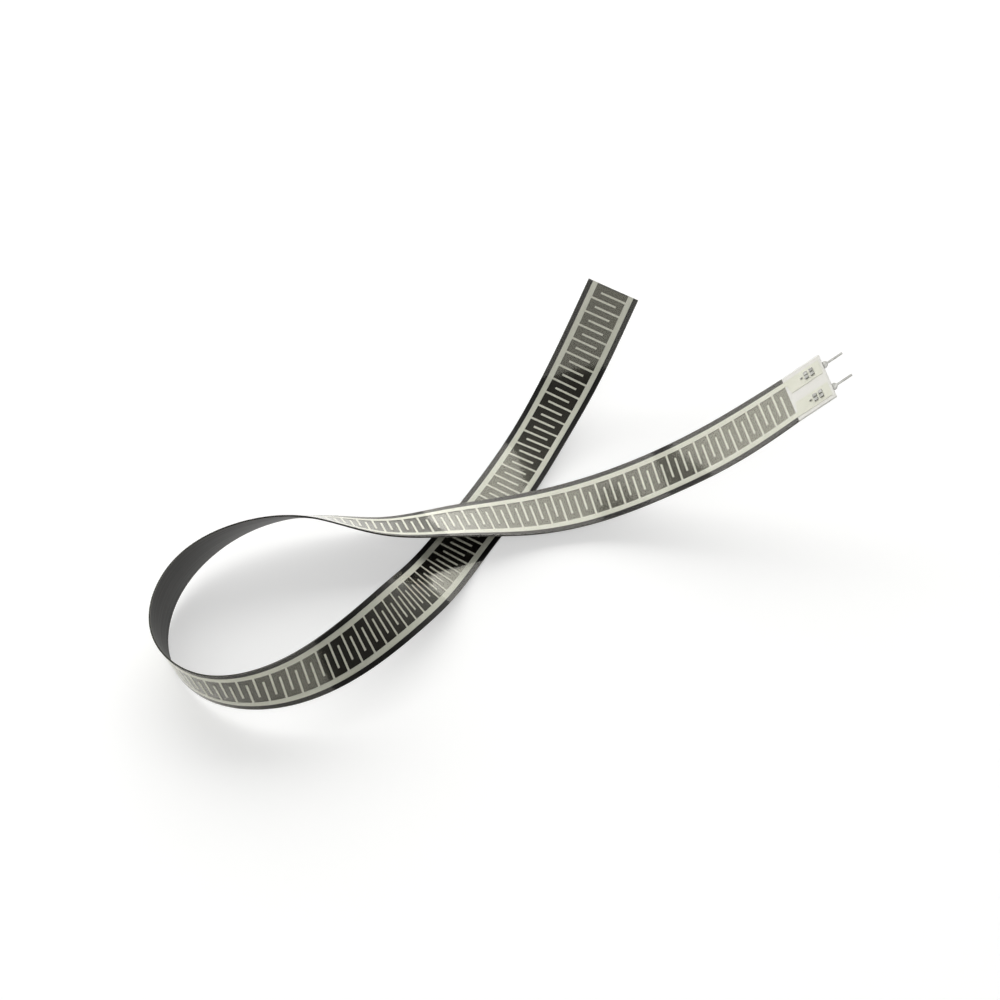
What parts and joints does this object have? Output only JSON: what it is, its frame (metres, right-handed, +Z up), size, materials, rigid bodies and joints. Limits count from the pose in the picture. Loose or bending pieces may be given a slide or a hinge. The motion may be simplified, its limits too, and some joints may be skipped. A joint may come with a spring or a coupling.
{
  "type": "force sensing resistor",
  "caption": "Long thin printed film strip that senses pressure, bent into an open teardrop loop with its ends crossing, and a pair of crimped solder contacts on a short pale tail.",
  "frame": {"origin": "on the table the strip lies on, at the middle of the rectangle its outline takes up", "axes": "+Z up from the table; +X towards the connector end, along the longest side of the outline; +Y towards the free end"},
  "size_m": [0.1726, 0.1399, 0.0477],
  "materials": {
    "back_film": "matte dark film with the carbon ink showing through",
    "clear_film": "clear, glossy",
    "carbon_ink": "dark, glossy under the film",
    "black_adhesive": "black, glossy under the film",
    "silver_ink": "pale grey-green printed silver, satin",
    "pale_adhesive": "pale, milky",
    "tinned_metal": "tinned, bright"
  },
  "bodies": {
    "root": {"base_film": "back_film", "top_film": "clear_film", "sensing_ink": "carbon_ink", "edge_rail_left": "black_adhesive", "edge_rail_right": "black_adhesive", "comb_left": "silver_ink", "comb_right": "silver_ink", "tail_seal": "pale_adhesive", "contact_left": "tinned_metal", "contact_right": "tinned_metal"}
  },
  "joints": []
}
